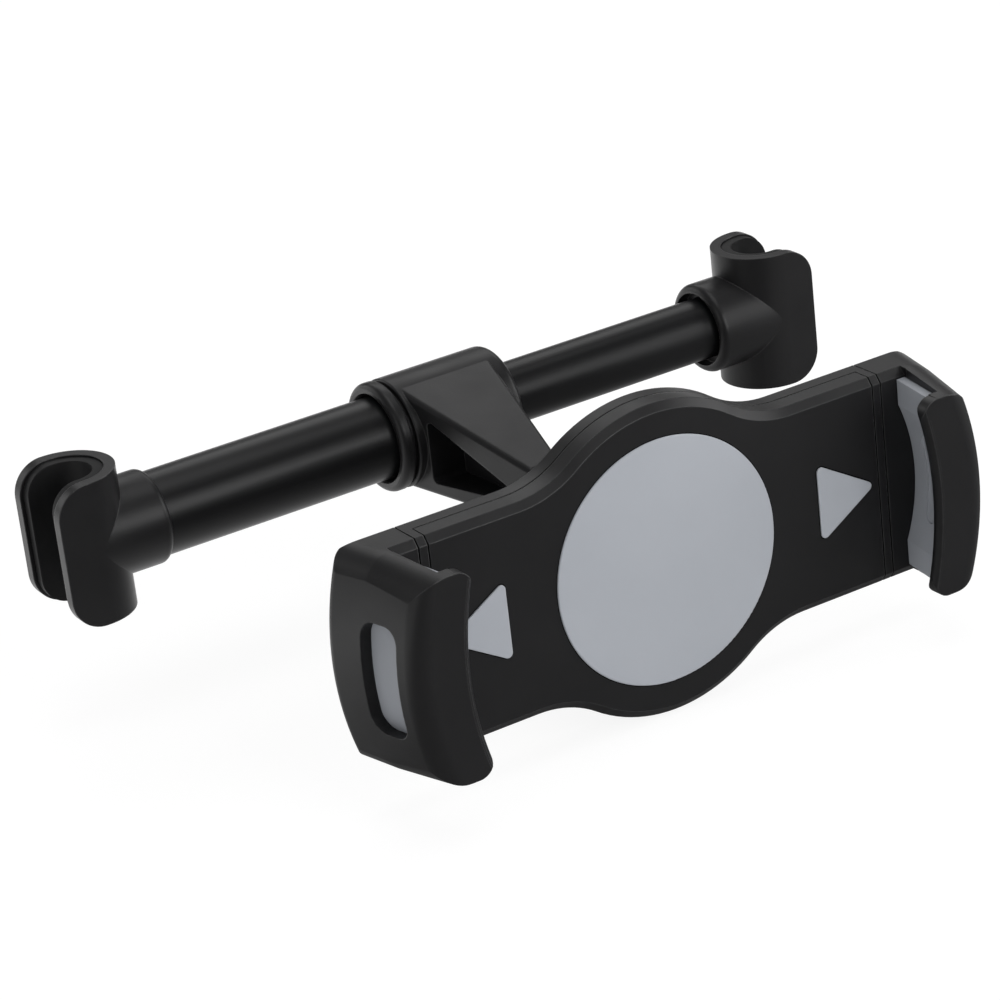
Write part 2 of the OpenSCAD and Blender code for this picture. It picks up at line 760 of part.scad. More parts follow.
module back_cover() {
    color(plastic_color) at_holder() difference() {
        union() {
            difference() {
                back_blank();
                along_y(0) linear_extrude(back_inner_y) plate_outline(cover_wall + 0.2, strip_in_x);
            }
            for (s = [0, 1]) mirror([s, 0, 0]) upright_x(strip_in_x) linear_extrude(end_strip) strip_section();
            at_cover_screws() along_y(front_t) cylinder(r = boss_r, h = plate_t - front_t - cut);
            guide_ribs(slider_y + slider_t + loose_clear, back_inner_y - slider_y - slider_t - loose_clear + cut);
            along_y(slider_y - 0.1) cylinder(r = pinion_boss_r, h = plate_t - slider_y - cut);
            along_y(slider_y + slider_t + 0.1) cylinder(r = pinion_boss_r + 2, h = plate_t - slider_y - slider_t - cut);
            for (a = [0, 1]) rotate([0, 180 * a, 0]) spring_anchor();
            along_y(plate_t - cut) cylinder(r = socket_r, h = ball_y - nut_seam - plate_t + cut);
            along_y(plate_t - cut) cylinder(r1 = nut_r + 2, r2 = nut_r - 0.5, h = cut + nut_front_gap - loose_clear);
        }
        translate([0, ball_y, 0]) sphere(r = socket_in_r);
        along_y(slider_y - cut) cylinder(r = pinion_screw_r + seat_clear / 2, h = slider_t + 2 + cut);
        at_cover_screws() {
            along_y(0) cylinder(r = cover_screw_r + 0.2, h = 2 * plate_t);
            along_y(plate_t - screw_head_t - 0.3) cylinder(r = screw_head_r + 0.1, h = plate_t);
        }
        for (s = [-1, 1])
            translate([s > 0 ? strip_in_x - cut : -strip_out_x - cut, slider_y - slot_clear, -slider_z - slot_clear])
                cube([end_strip + 2 * cut, slider_t + 2 * slot_clear, slider_h + 2 * slot_clear]);
    }
}

// Soft pads in the front face
module round_pad() {
    color(silicone_color) at_holder() along_y(-pad_proud)
        turned(pad_d / 2, pad_seat + pad_proud, 0.3, 0);
}

module triangle_pad() {
    color(silicone_color) at_holder() along_y(-pad_proud)
        linear_extrude(pad_seat + pad_proud) triangle(0);
}

module left_triangle_pad() { other_side() triangle_pad(); }
module right_triangle_pad() { triangle_pad(); }

module cover_screws() {
    color(steel_color) at_holder() at_cover_screws() along_y(plate_t - 0.3)
        screw(cover_screw_r, plate_t - 0.3 - front_inner_y - 0.8);
}

// The pinion's screw and washer in one, put in from the front before the cover
module pinion_screw() {
    color(steel_color) at_holder() translate([0, slider_y - 0.1 - washer_t, 0]) rotate([90, 0, 0])
        screw(pinion_screw_r, slider_t + 1.4 + washer_t, washer_r, washer_t);
}

// Rack and pinion with true involute flanks
function flank(r) = let (t = sqrt(pow(r / base_r, 2) - 1)) t * 180 / PI - atan(t);
function half_tooth(r) = 90 / pinion_teeth - backlash * 180 / PI / pitch_r + flank(pitch_r) - flank(r);
function polar(r, a) = [r * cos(a), r * sin(a)];

module pinion_tooth() {
    radii = [for (i = [0:4]) base_r + (pitch_r + addendum - base_r) * i / 4];
    right_side = [for (r = radii) polar(r, -half_tooth(r))];
    left_side = [for (i = [4:-1:0]) polar(radii[i], half_tooth(radii[i]))];
    foot = [polar(pitch_r - dedendum - 0.4, half_tooth(base_r)), polar(pitch_r - dedendum - 0.4, -half_tooth(base_r))];
    polygon(concat(right_side, left_side, foot));
}

module pinion() {
    color(nylon_color) at_holder() along_y(slider_y) linear_extrude(slider_t) difference() {
        union() {
            circle(r = pitch_r - dedendum);
            for (i = [0:pinion_teeth - 1]) rotate(90 + 360 * i / pinion_teeth) pinion_tooth();
        }
        circle(r = pinion_boss_r + run_clear);
    }
}

module rack_tooth() {
    half = tooth_pitch / 4 - backlash;
    slope = tan(pressure);
    polygon([
        [-half - dedendum * slope, -dedendum - 0.4], [half + dedendum * slope, -dedendum - 0.4],
        [half + dedendum * slope, -dedendum], [half - addendum * slope, addendum],
        [-half + addendum * slope, addendum], [-half - dedendum * slope, -dedendum]
    ]);
}

module slider_plan() {
    difference() {
        union() {
            translate([plate_end_x, -slider_z]) square([slider_tip_x - plate_end_x, slider_h]);
            translate([-rack_end_x, -rack_back])
                square([rack_end_x + plate_end_x + cut, rack_back - pitch_r - dedendum]);
            for (i = [-2:rack_teeth - 2]) translate([-(i + 0.5) * tooth_pitch, -pitch_r]) rack_tooth();
            translate([lug_x - lug_w, prong_z])
                square([plate_end_x - lug_x + lug_w + cut, slider_z - prong_z]);
            translate([lug_x - lug_w, prong_z]) square([lug_w, lug_top - prong_z]);
        }
        for (s = [-1, 1]) translate([jaw_screw_x, s * jaw_screw_z]) circle(r = cover_screw_r + seat_clear);
        translate([plate_end_x + 8, 0]) rounded_rect(7, slider_h - 14, 2);
    }
}

module slider() {
    color(nylon_color) {
        translate([0, slider_y + slider_t, 0]) rotate([90, 0, 0]) linear_extrude(slider_t) slider_plan();
        translate([0, slider_y + slider_t / 2, spring_z]) along_x(lug_x - lug_w - spigot_len)
            cylinder(r = spigot_r, h = spigot_len + cut);
    }
}

module left_slider() { at_holder() turned_half() slider(); }
module right_slider() { at_holder() slider(); }

module jaw_spring() {
    color(steel_color) translate([0, slider_y + slider_t / 2, spring_z]) along_x(-anchor_x)
        coil_spring(spring_coil_r, spring_wire_r, anchor_x + lug_x - lug_w, 16, 8, 5);
}

module left_jaw_spring() { at_holder() turned_half() jaw_spring(); }
module right_jaw_spring() { at_holder() jaw_spring(); }

// What lies outside a round corner between two directions
module corner_cut(r, a0, a1) {
    mid = (a0 + a1) / 2;
    difference() {
        polygon([[0, 0], polar(3 * r, a0), polar(5 * r, mid), polar(3 * r, a1)]);
        circle(r = r);
    }
}

module jaw_section() {
    difference() {
        polygon([
            [0, -lip_reach], [jaw_bow_r - lip_reach * lean, -lip_reach],
            [jaw_bow_r + plate_t * lean, plate_t], [0, plate_t]
        ]);
        translate([front_corner_x, jaw_front_r - lip_reach]) corner_cut(jaw_front_r, -90, -wall_lean);
        translate([back_corner_x, plate_t - jaw_back_r]) corner_cut(jaw_back_r, -wall_lean, 90);
    }
}

// The jaw seen along the bar: flush with the holder, lower toward the lip
module jaw_profile() {
    low = plate_z - (lip_reach + cut) * tan(lip_slope);
    polygon([
        [plate_t + cut, -plate_z], [plate_t + cut, plate_z], [0, plate_z],
        [-lip_reach - cut, low], [-lip_reach - cut, -low], [0, -plate_z]
    ]);
}

// Round corners that follow the leaning side and the sloping ends
module jaw_corners() {
    bow_turn = asin(corner_z / (jaw_bow_r - jaw_corner_r));
    for (s = [0, 1]) mirror([0, 0, s]) translate([corner_x, 0, -corner_z]) {
        rotate([0, 0, -wall_lean]) along_y(-cut) linear_extrude(plate_t + 4 * cut)
            corner_cut(jaw_corner_r, bow_turn, 90);
        rotate([-lip_slope, 0, -wall_lean]) along_y(-lip_reach - 4 * cut)
            linear_extrude(lip_reach + 5 * cut) corner_cut(jaw_corner_r, bow_turn, 90);
    }
}

module lip_mouth() {
    lip_turn = asin(lip_corner_z / (lip_edge_r + lip_corner_r));
    translate([lip_x, 0]) circle(r = lip_edge_r);
    for (s = [0, 1]) mirror([0, s]) translate([lip_corner_x, lip_corner_z])
        corner_cut(lip_corner_r, 90, 180 + lip_turn);
}

module jaw_edges() {
    for (s = [0, 1]) mirror([0, 0, s]) {
        upright_x(jaw_in_x - cut) linear_extrude(cap_x - jaw_in_x + cut) polygon([
            [-cut, plate_z - bevel_h - bevel_h * cut / bevel_y], [bevel_y, plate_z],
            [bevel_y, plate_z + cut], [-cut, plate_z + cut]
        ]);
        upright_x(jaw_in_x - cut) linear_extrude(jaw_out) polygon([
            [plate_t - back_bevel, plate_z], [plate_t + cut, plate_z - back_bevel - cut],
            [plate_t + cut, plate_z + cut], [plate_t - back_bevel, plate_z + cut]
        ]);
    }
}

// Everything inside the jaw's wall between the lip and the holder's front face
module wall_room(gap, half_h) {
    intersection() {
        translate([bow_x, 0, 0]) along_y(0) rotate_extrude() polygon([
            [0, lip_back_y], [wall_in_r - gap + lip_back_y * lean, lip_back_y],
            [wall_in_r - gap, 0], [0, 0]
        ]);
        translate([0, lip_back_y - cut, -half_h]) cube([2 * jaw_out, -lip_back_y + 2 * cut, 2 * half_h]);
    }
}

module jaw() {
    color(plastic_color) difference() {
        intersection() {
            translate([bow_x, 0, 0]) along_y(0) rotate_extrude() jaw_section();
            upright_x(0) linear_extrude(2 * jaw_out) jaw_profile();
        }
        jaw_corners();
        translate([-jaw_out, lip_back_y, -plate_h])
            cube([jaw_out + jaw_in_x, plate_t - lip_back_y + cut, 2 * plate_h]);
        translate([0, 0, -plate_h]) linear_extrude(2 * plate_h) polygon([
            [-jaw_out, lip_back_y], [cap_x + lip_back_y * tan(pad_lean), lip_back_y], [cap_x, 0], [-jaw_out, 0]
        ]);
        wall_room(0, plate_z - cap_t);
        along_y(-lip_reach - cut) linear_extrude(lip_t + cut) lip_mouth();
        translate([lip_x, 0, 0]) along_y(-lip_reach + lip_t / 2) rotate_extrude() difference() {
            translate([lip_edge_r - cut, -lip_t]) square([lip_round_r + cut, 2 * lip_t]);
            translate([lip_edge_r + lip_round_r, 0]) circle(r = lip_round_r);
            translate([lip_edge_r + lip_round_r, 0]) square([cut, 2 * lip_round_r], center = true);
        }
        upright_x(cap_x) linear_extrude(jaw_out) translate([slot_y, 0]) rounded_rect(slot_w, slot_h, slot_r);
        jaw_edges();
        translate([jaw_in_x - cut, slider_y - seat_clear, -slider_z - seat_clear])
            cube([slider_in_jaw + cut + seat_clear, slider_t + 2 * seat_clear, slider_h + 2 * seat_clear]);
        for (s = [-1, 1]) translate([jaw_screw_x, 0, s * jaw_screw_z]) {
            along_y(1.8) cylinder(r = cover_screw_r + seat_clear / 2, h = plate_t);
            along_y(plate_t - screw_head_t - 0.3) cylinder(r = screw_head_r + 0.1, h = plate_t);
        }
    }
}

// What is left free in front of the soft pad, leaning like the pad's face
module pad_face() {
    translate([pad_end, 0, 0]) rotate([0, 0, -pad_lean]) {
        along_y(-2 * lip_reach) linear_extrude(3 * lip_reach) {
            translate([-2 * jaw_out, -plate_h]) square([2 * jaw_out, 2 * plate_h]);
            translate([pad_face_x, 0]) circle(r = pad_face_r);
        }
        intersection() {
            upright_x(-1) linear_extrude(2 * lip_reach) translate([lip_back_y / 2, 0])
                rounded_rect(pad_mark_w, pad_mark_h, pad_mark_w / 2 - 0.01);
            translate([pad_face_x, 0, 0]) along_y(lip_back_y - cut)
                cylinder(r = pad_face_r + pad_mark_t, h = 2 * lip_reach);
        }
    }
}

module jaw_pad() {
    color(silicone_color) difference() {
        wall_room(seat_clear, jaw_pad_z);
        pad_face();
    }
}

module jaw_screws() {
    color(steel_color) for (s = [-1, 1]) translate([jaw_screw_x, 0, s * jaw_screw_z])
        along_y(plate_t - 0.3) screw(cover_screw_r, plate_t - 0.3 - 2.2);
}

module left_jaw() { at_holder() other_side() jaw(); }
module right_jaw() { at_holder() jaw(); }
module left_jaw_pad() { at_holder() other_side() jaw_pad(); }
module right_jaw_pad() { at_holder() jaw_pad(); }
module left_jaw_screws() { at_holder() other_side() jaw_screws(); }
module right_jaw_screws() { at_holder() jaw_screws(); }

left_hook();
left_hook_liner();
left_tube();
left_spring_seat();
left_hook_screw();
arm_housing();
housing_ring();
tube_bush();
housing_screws();
bar_spring();
right_hook();
right_hook_liner();
right_tube();
right_spring_seat();
guide_bush();
right_hook_screw();
ball_seat();
ball_ring();
clamp_nut();
back_cover();
front_cover();
round_pad();
left_triangle_pad();
right_triangle_pad();
cover_screws();
pinion_screw();
left_jaw_spring();
right_jaw_spring();
pinion();
left_jaw();
left_slider();
left_jaw_pad();
left_jaw_screws();
right_jaw();
right_slider();
right_jaw_pad();
right_jaw_screws();
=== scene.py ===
import json
import math

import bmesh
import bpy
from mathutils import Matrix, Vector


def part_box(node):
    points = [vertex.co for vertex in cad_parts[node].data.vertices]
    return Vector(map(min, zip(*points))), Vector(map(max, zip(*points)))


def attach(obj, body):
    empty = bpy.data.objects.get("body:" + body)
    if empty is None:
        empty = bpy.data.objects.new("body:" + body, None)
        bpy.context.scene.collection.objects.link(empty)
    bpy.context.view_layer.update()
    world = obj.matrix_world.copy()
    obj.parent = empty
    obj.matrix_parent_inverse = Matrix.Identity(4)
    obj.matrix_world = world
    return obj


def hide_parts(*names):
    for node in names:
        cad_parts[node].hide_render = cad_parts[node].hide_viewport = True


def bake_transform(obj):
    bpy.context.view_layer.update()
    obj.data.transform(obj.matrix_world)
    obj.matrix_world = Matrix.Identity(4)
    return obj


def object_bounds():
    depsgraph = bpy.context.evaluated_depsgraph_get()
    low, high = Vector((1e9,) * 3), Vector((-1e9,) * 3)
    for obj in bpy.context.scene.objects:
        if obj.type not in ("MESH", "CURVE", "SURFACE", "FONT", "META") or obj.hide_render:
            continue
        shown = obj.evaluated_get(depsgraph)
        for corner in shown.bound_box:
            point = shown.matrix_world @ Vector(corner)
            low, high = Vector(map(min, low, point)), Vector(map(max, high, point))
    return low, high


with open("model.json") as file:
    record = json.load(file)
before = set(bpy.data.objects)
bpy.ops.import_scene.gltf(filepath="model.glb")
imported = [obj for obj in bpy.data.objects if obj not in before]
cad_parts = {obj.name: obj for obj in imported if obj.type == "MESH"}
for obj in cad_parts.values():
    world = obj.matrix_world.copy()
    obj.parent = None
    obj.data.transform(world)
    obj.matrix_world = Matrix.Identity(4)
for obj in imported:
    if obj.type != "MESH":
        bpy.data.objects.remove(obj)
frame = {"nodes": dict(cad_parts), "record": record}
CAD_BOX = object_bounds()
nodes = frame["nodes"]
scene = bpy.context.scene
scene.view_settings.view_transform = "Standard"

# Lengths are in metres. X runs along the bar, the holder faces -Y, and Z is up.


def new_object(name, data):
    """Object with that data, linked to the scene."""
    obj = bpy.data.objects.new(name, data)
    scene.collection.objects.link(obj)
    return obj


# ---------------------------------------------------------------- camera
# its place and its axes were solved from the outline in the photo
CAM_AT = Vector((-0.40935, -0.73347, 0.33597))
CAM_RIGHT = Vector((0.83653, -0.53742, -0.10675))
CAM_UP = Vector((0.29661, 0.28036, 0.91292))
CAM_BACK = Vector((-0.46069, -0.79535, 0.39394))
LENS_MM, SENSOR_MM = 131.0, 36.0
CLIP_NEAR, CLIP_FAR = 0.01, 20.0

cam = bpy.data.cameras.new("photo_camera")
cam.lens = LENS_MM
cam.sensor_width = SENSOR_MM
cam.clip_start = CLIP_NEAR
cam.clip_end = CLIP_FAR
cam_obj = new_object("photo_camera", cam)
cam_obj.matrix_world = Matrix((
    (CAM_RIGHT.x, CAM_UP.x, CAM_BACK.x, CAM_AT.x),
    (CAM_RIGHT.y, CAM_UP.y, CAM_BACK.y, CAM_AT.y),
    (CAM_RIGHT.z, CAM_UP.z, CAM_BACK.z, CAM_AT.z),
    (0, 0, 0, 1),
))
scene.camera = cam_obj

# ---------------------------------------------------------------- node helpers
MIX_FACTOR, MIX_A, MIX_B, MIX_RESULT = 0, 6, 7, 2   # the Mix node's sockets for colours
NOISE_BAND = (0.3, 0.7)             # most values of a noise texture lie in it
EDGE_BAND = (0.992, 0.950)          # softened normal . own normal: an edge begins, is full
OPEN_BAND = (0.45, 0.85)            # share of open sky: down in a groove, out in the open
BEVEL_SAMPLES, SKY_SAMPLES = 6, 4


class Nodes:
    """Short way to write a node tree. A value is a number, a tuple or another node's output."""

    def __init__(self, tree):
        self.tree = tree

    def feed(self, socket, value):
        if isinstance(value, bpy.types.NodeSocket):
            self.tree.links.new(value, socket)
        else:
            socket.default_value = value

    def add(self, kind, inputs=None, **settings):
        node = self.tree.nodes.new(kind)
        for key, value in settings.items():
            setattr(node, key, value)
        for key, value in (inputs or {}).items():
            self.feed(node.inputs[key], value)
        return node

    def coords(self, scale=(1, 1, 1)):
        place = self.add("ShaderNodeTexCoord").outputs["Object"]
        scaled = self.add("ShaderNodeMapping", {"Vector": place, "Scale": scale})
        return scaled.outputs["Vector"]

    def noise(self, vector, scale, detail=2.0, rough=0.5):
        inputs = {"Vector": vector, "Scale": scale, "Detail": detail, "Roughness": rough}
        return self.add("ShaderNodeTexNoise", inputs).outputs["Fac"]

    def ramp(self, value, span, result=(0.0, 1.0)):
        """Runs from the first to the second result while the value runs through the span."""
        return self.add("ShaderNodeMapRange", {
            "Value": value,
            "From Min": span[0], "From Max": span[1],
            "To Min": result[0], "To Max": result[1],
        }).outputs["Result"]

    def mix(self, factor, a, b):
        """Mix of two colours, each an output or a written colour."""
        a, b = ((*c, 1) if isinstance(c, tuple) else c for c in (a, b))
        inputs = {MIX_FACTOR: factor, MIX_A: a, MIX_B: b}
        return self.add("ShaderNodeMix", inputs, data_type="RGBA").outputs[MIX_RESULT]

    def math(self, operation, a, b):
        return self.add("ShaderNodeMath", {0: a, 1: b}, operation=operation).outputs[0]

    def bump(self, pattern, strength, height, normal=None):
        inputs = {"Height": pattern, "Strength": strength, "Distance": height}
        if normal is not None:
            inputs["Normal"] = normal
        return self.add("ShaderNodeBump", inputs).outputs["Normal"]

    def soft_edges(self, radius):
        bevel = self.add("ShaderNodeBevel", {"Radius": radius}, samples=BEVEL_SAMPLES)
        return bevel.outputs["Normal"]

    def edge_mask(self, softened):
        """1 along edges, where the softened normal leaves the surface's own, 0 on faces."""
        own = self.add("ShaderNodeNewGeometry").outputs["Normal"]
        both = self.add("ShaderNodeVectorMath", {0: softened, 1: own}, operation="DOT_PRODUCT")
        return self.ramp(both.outputs["Value"], EDGE_BAND)

    def open_air(self, distance):
        """1 on open surfaces, 0 in grooves and corners, where neither light nor hands reach."""
        sky = self.add("ShaderNodeAmbientOcclusion", {"Distance": distance}, samples=SKY_SAMPLES)
        return self.ramp(sky.outputs["AO"], OPEN_BAND)

    def rays(self):
        """Two masks: the camera's own rays, and those that gloss and glass send on."""
        path = self.add("ShaderNodeLightPath").outputs
        mirrored = self.math("MAXIMUM", path["Is Glossy Ray"], path["Is Transmission Ray"])
        return path["Is Camera Ray"], mirrored

    def shader(self, kind, inputs):
        return self.add(kind, inputs).outputs[0]

    def mix_shader(self, factor, a, b):
        return self.shader("ShaderNodeMixShader", {0: factor, 1: a, 2: b})


class Material(Nodes):
    """New material, with its Principled shader at hand."""

    def __init__(self, name):
        self.mat = bpy.data.materials.new(name)
        self.mat.use_nodes = True
        super().__init__(self.mat.node_tree)
        self.bsdf = self.tree.nodes["Principled BSDF"]

    def surface(self, inputs):
        for key, value in inputs.items():
            self.feed(self.bsdf.inputs[key], value)
        return self.mat


# ---------------------------------------------------------------- materials
HAND_AND_SHADE_REACH = 0.0006         # grooves narrower than about this stay unworn and get painted shade
PAINTED_GROOVE_SHADE = 0.25         # painted shade: what is left of the dark colour down in them
WEAR_POLISH = 0.10          # how much smoother handling makes an edge
MOTTLE_HEIGHT = 0.00006
FINE_HEIGHT = 0.00003       # of the marks on tubes and steel, and of dust
SCUFF_BAND, SCUFF_WEAR_AND_HIGHLIGHT = (0.3, 0.6), (0.45, 1.0)    # edges are worn, and given a painted highlight, in patches
SATIN_DOWN, SATIN_UP = 0.035, 0.045     # how far mottling takes the roughness down and up
TURNED_DOWN, TURNED_UP = 0.06, 0.08     # the same for steel
DRAWN_SCALE = (8, 700, 700)             # marks that are long along the tube, fine across it


def moulded_plastic(name, dark, light, worn_and_highlit, rough, grain, grain_height, edge, level=0.3):
    """Moulded plastic: spark-eroded grain, mottling, flow marks, painted shade in grooves, and
    edges polished by hands and made lighter by wear and by a painted highlight.
    """
    m = Material(name)
    place = m.coords()
    fine = m.noise(place, scale=grain, rough=0.6)
    mottle = m.noise(place, scale=90.0, detail=3.0, rough=0.55)
    broad = m.noise(place, scale=14.0)
    scuff = m.noise(place, scale=420.0, detail=4.0, rough=0.7)
    soft = m.soft_edges(edge)
    reached_and_lit = m.open_air(HAND_AND_SHADE_REACH)
    # the lighter colour along edges is partly wear and partly a painted highlight
    wear_and_highlight = m.math("MULTIPLY", m.edge_mask(soft), m.ramp(scuff, SCUFF_BAND, SCUFF_WEAR_AND_HIGHLIGHT))
    wear_and_highlight = m.math("MULTIPLY", wear_and_highlight, reached_and_lit)
    base = m.mix(m.ramp(broad, NOISE_BAND), dark, light)
    # painted shade: the base colour darkens down in grooves and corners
    base = m.mix(reached_and_lit, tuple(PAINTED_GROOVE_SHADE * c for c in dark), base)
    satin = m.ramp(mottle, NOISE_BAND, (rough - SATIN_DOWN, rough + SATIN_UP))
    normal = m.bump(fine, strength=0.35, height=grain_height, normal=soft)
    return m.surface({
        "Base Color": m.mix(wear_and_highlight, base, worn_and_highlit),
        "Roughness": m.math("SUBTRACT", satin, m.math("MULTIPLY", wear_and_highlight, WEAR_POLISH)),
        "Normal": m.bump(mottle, strength=0.12, height=MOTTLE_HEIGHT, normal=normal),
        "IOR": 1.5,
        "Specular IOR Level": level,
    })


def coated_tube(name):
    """Black coated tube, with the fine lengthwise marks of drawing and of sliding in its bush."""
    m = Material(name)
    streak = m.noise(m.coords(DRAWN_SCALE), scale=1.0, detail=3.0, rough=0.6)
    place = m.coords()
    broad = m.ramp(m.noise(place, scale=22.0), NOISE_BAND)
    fine = m.noise(place, scale=2600.0, detail=1.0)
    soft = m.soft_edges(0.0003)
    normal = m.bump(streak, strength=0.10, height=FINE_HEIGHT, normal=soft)
    return m.surface({
        "Base Color": m.mix(broad, (0.0055, 0.0055, 0.0060), (0.0080, 0.0080, 0.0087)),
        "Roughness": m.ramp(streak, NOISE_BAND, (0.30, 0.38)),
        "Normal": m.bump(fine, strength=0.18, height=FINE_HEIGHT, normal=normal),
        "Specular IOR Level": 0.3,
    })


def silicone(name):
    """Grey silicone rubber with a fine matt skin, a dusty sheen and a painted highlight that
    makes its rims slightly paler.
    """
    m = Material(name)
    place = m.coords()
    fine = m.noise(place, scale=2400.0, rough=0.6)
    broad = m.noise(place, scale=30.0, detail=3.0)
    soft = m.soft_edges(0.0004)
    base = m.mix(m.ramp(broad, NOISE_BAND), (0.358, 0.376, 0.410), (0.378, 0.396, 0.431))
    # painted highlight: the rims are paler than the face
    painted_rim_highlight = m.math("MULTIPLY", m.edge_mask(soft), 0.5)
    return m.surface({
        "Base Color": m.mix(painted_rim_highlight, base, (0.46, 0.475, 0.505)),
        "Roughness": m.ramp(broad, NOISE_BAND, (0.56, 0.64)),
        "Normal": m.bump(fine, strength=0.25, height=0.00004, normal=soft),
        "IOR": 1.41,
        "Sheen Weight": 0.08,
        "Sheen Roughness": 0.4,
    })


def black_rubber(name):
    """Soft black rubber liner: matt, with a slight bloom in patches."""
    m = Material(name)
    place = m.coords()
    fine = m.noise(place, scale=1500.0, detail=3.0, rough=0.6)
    bloom = m.noise(place, scale=60.0, detail=4.0, rough=0.6)
    patch = m.ramp(bloom, (0.4, 0.75))
    soft = m.soft_edges(0.0004)
    return m.surface({
        "Base Color": m.mix(patch, (0.006, 0.006, 0.0065), (0.011, 0.011, 0.0115)),
        "Roughness": m.ramp(bloom, NOISE_BAND, (0.52, 0.66)),
        "Normal": m.bump(fine, strength=0.3, height=0.00005, normal=soft),
        "Specular IOR Level": 0.2,
        "Sheen Weight": 0.03,
        "Sheen Roughness": 0.5,
    })


def steel(name, dark, light, rough):
    """Bare or plated steel, with fine turning marks and a little dullness."""
    m = Material(name)
    place = m.coords()
    fine = m.noise(place, scale=1800.0, rough=0.6)
    patch = m.noise(place, scale=220.0, detail=3.0, rough=0.6)
    soft = m.soft_edges(0.0002)
    return m.surface({
        "Base Color": m.mix(m.ramp(patch, (0.35, 0.7)), dark, light),
        "Roughness": m.ramp(fine, NOISE_BAND, (rough - TURNED_DOWN, rough + TURNED_UP)),
        "Normal": m.bump(fine, strength=0.15, height=FINE_HEIGHT, normal=soft),
        "Metallic": 1.0,
    })


def gap_shade(name):
    """Shaded gap with a little dust in it."""
    m = Material(name)
    dust = m.noise(m.coords(), scale=900.0, detail=3.0, rough=0.6)
    dusty = m.ramp(dust, (0.45, 0.8))
    return m.surface({
        "Base Color": m.mix(dusty, (0.0012, 0.0012, 0.0013), (0.0060, 0.0060, 0.0062)),
        "Roughness": m.ramp(dust, NOISE_BAND, (0.85, 0.95)),
        "Normal": m.bump(dust, strength=0.2, height=FINE_HEIGHT),
        "Specular IOR Level": 0.06,
    })


MATERIALS = {
    "satin_black": moulded_plastic(
        "satin_black_plastic", dark=(0.0105, 0.0103, 0.0110), light=(0.0135, 0.0132, 0.0140),
        worn_and_highlit=(0.058, 0.058, 0.059), rough=0.37, grain=2200.0, grain_height=0.00004, edge=0.0004),
    "slider_black": moulded_plastic(
        "slider_black_plastic", dark=(0.012, 0.012, 0.0125), light=(0.017, 0.017, 0.0175),
        worn_and_highlit=(0.03, 0.03, 0.031), rough=0.46, grain=1800.0, grain_height=0.00004, edge=0.0003),
    "nylon": moulded_plastic(
        "natural_nylon", dark=(0.50, 0.48, 0.42), light=(0.58, 0.56, 0.50),
        worn_and_highlit=(0.62, 0.60, 0.55), rough=0.42, grain=1500.0, grain_height=0.00003, edge=0.0003,
        level=0.45),
    "tube_black": coated_tube("black_coated_tube"),
    "black_rubber": black_rubber("black_rubber_liner"),
    "grey_silicone": silicone("grey_silicone_pad"),
    "screw_steel": steel(
        "dark_plated_steel", dark=(0.10, 0.10, 0.105), light=(0.16, 0.16, 0.165), rough=0.36),
    "spring_steel": steel(
        "drawn_spring_wire", dark=(0.42, 0.42, 0.43), light=(0.55, 0.55, 0.56), rough=0.28),
}

slots = {part["node"]: part["material_slot"] for part in frame["record"]["subparts"]}
for node, part in nodes.items():
    part.data.materials.clear()
    part.data.materials.append(MATERIALS[slots[node]])


# ---------------------------------------------------------------- springs
# each spring's mesh is copied into an object of its own, and the part is hidden
def spring_copy(node, name):
    obj = new_object(name, nodes[node].data.copy())
    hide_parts(node)
    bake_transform(obj)


spring_copy("bar_spring", "bar_coil_spring")
spring_copy("left_jaw_spring", "left_jaw_coil_spring")
spring_copy("right_jaw_spring", "right_jaw_coil_spring")

# ---------------------------------------------------------------- painted shade in the fine gaps round the pads
GAP_SHADE = gap_shade("pad_gap_shade")
FACE_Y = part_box("front_cover")[0][1]
GAP_PROUD, GAP_SUNK = 0.00001, 0.0002       # how far a ring stands out of the plate, and in it
GAP_UNDER_PAD = 0.00004                     # and how far it runs in under the pad's edge
GAP_POINTS = 180
ROUND_GAP, TRIANGLE_GAP = 0.00022, 0.00026
TRIANGLE_CORNER_R = 0.0012


def hull_point(circles, angle, grow):
    """Point, in the plate's plane, where the outline round the circles faces that angle."""
    facing = Vector((math.cos(angle), math.sin(angle)))
    centre, radius = max(circles, key=lambda c: c[0].dot(facing) + c[1])
    return centre + facing * (radius + grow)


def gap_line(name, circles, width):
    """Closed ring of painted shade, sunk in the plate's face, that follows a pad's outline."""
    inner, outer = -GAP_UNDER_PAD, width
    front, back = FACE_Y - GAP_PROUD, FACE_Y + GAP_SUNK
    bm = bmesh.new()
    rows = []
    for grow, y in ((inner, front), (outer, front), (outer, back), (inner, back)):
        points = [hull_point(circles, 2 * math.pi * i / GAP_POINTS, grow)
                  for i in range(GAP_POINTS)]
        rows.append([bm.verts.new((p.x, y, p.y)) for p in points])
    for a, b in zip(rows, rows[1:] + rows[:1]):
        for i in range(GAP_POINTS):
            j = (i + 1) % GAP_POINTS
            bm.faces.new((a[i], a[j], b[j], b[i]))
    bmesh.ops.recalc_face_normals(bm, faces=bm.faces)
    mesh = bpy.data.meshes.new(name)
    bm.to_mesh(mesh)
    bm.free()
    mesh.materials.append(GAP_SHADE)
    obj = new_object(name, mesh)
    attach(obj, "holder")


def middle(node):
    """A node's centre in the plate's plane, and half its width and height."""
    low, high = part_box(node)
    centre = Vector(((low[0] + high[0]) / 2, (low[2] + high[2]) / 2))
    return centre, (high[0] - low[0]) / 2, (high[2] - low[2]) / 2


